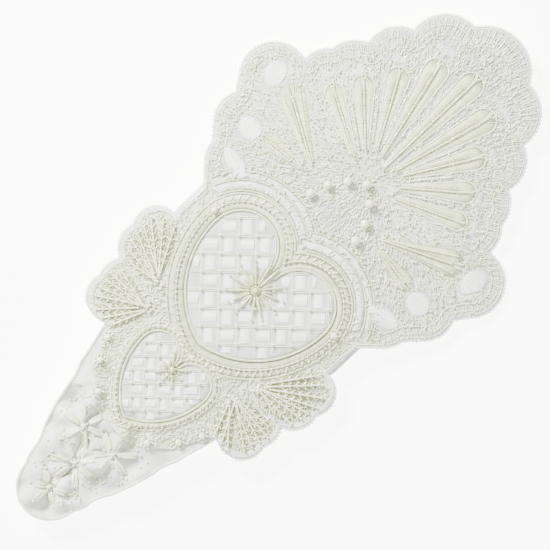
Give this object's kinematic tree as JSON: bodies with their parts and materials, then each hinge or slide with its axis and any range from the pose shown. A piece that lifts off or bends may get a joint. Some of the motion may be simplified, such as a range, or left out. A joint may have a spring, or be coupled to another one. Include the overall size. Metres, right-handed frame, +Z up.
{
  "type": "beaded lace bridal glove",
  "caption": "Fingerless lace bridal gauntlet: soft sleeve with a scallop-shell fan, beaded hearts and sprays, and a pointed hand panel with an elastic finger loop.",
  "frame": {"origin": "on the table below the centre of the glove's outline", "axes": "+Y along the glove towards the arm, +X across it, +Z up out of the back of the hand"},
  "size_m": [0.125, 0.24, 0.0141],
  "materials": {
    "organza": "sheer satin organza, soft sheen",
    "elastic": "woven elastic, matt",
    "binding_satin": "rolled satin edge",
    "lace_net": "fine net under embroidery",
    "border_stitching": "dense radial satin stitching",
    "petal_satin": "satin stitching, silky",
    "inset_satin": "smooth white satin",
    "corded_band": "corded and beaded embroidery",
    "lattice_thread": "couched thread",
    "pearls": "pearl lustre",
    "bugle_beads": "glossy bugle beads"
  },
  "bodies": {
    "sleeve": {"back_panel": "organza", "under_panel": "organza", "side_seam_left": "organza", "side_seam_right": "organza", "wrist_elastic": "elastic", "arm_hem": "binding_satin", "arm_lace_ground": "lace_net", "fan_border": "border_stitching", "fan_petals": "petal_satin", "fan_rib_beads": "bugle_beads", "side_petals_left": "petal_satin", "side_petals_right": "petal_satin", "satin_insets_left": "inset_satin", "satin_insets_right": "inset_satin", "pearl_arc": "pearls", "heart_band": "corded_band", "heart_lattice": "lattice_thread", "heart_flower": "bugle_beads", "scroll_left": "border_stitching", "scroll_right": "border_stitching", "shoulder_pearls": "pearls", "upper_spray_lace_left": "petal_satin", "upper_spray_lace_right": "petal_satin", "upper_spray_beads_left": "bugle_beads", "upper_spray_beads_right": "bugle_beads"},
    "hand_point": {"point_panel": "organza", "point_binding": "binding_satin", "hand_lace_ground": "lace_net", "small_heart_band": "corded_band", "small_heart_lattice": "lattice_thread", "small_heart_flower": "bugle_beads", "lower_spray_lace_left": "petal_satin", "lower_spray_lace_right": "petal_satin", "lower_spray_beads_left": "bugle_beads", "lower_spray_beads_right": "bugle_beads", "edge_pearls": "pearls", "star_left": "bugle_beads", "star_right": "bugle_beads", "star_centre": "bugle_beads", "tip_cluster": "bugle_beads", "loop_tack": "binding_satin"},
    "loop": {"finger_loop": "elastic"}
  },
  "joints": [
    {"name": "wrist_flex", "type": "hinge", "parent": "sleeve", "child": "hand_point", "pos_m": [0, -0.035, 0.01], "axis": [1, 0, 0], "range_deg": [-50, 50]},
    {"name": "loop_swing", "type": "hinge", "parent": "hand_point", "child": "loop", "pos_m": [0, -0.1156, 0.00225], "axis": [-1, 0, 0], "range_deg": [0, 175]}
  ]
}
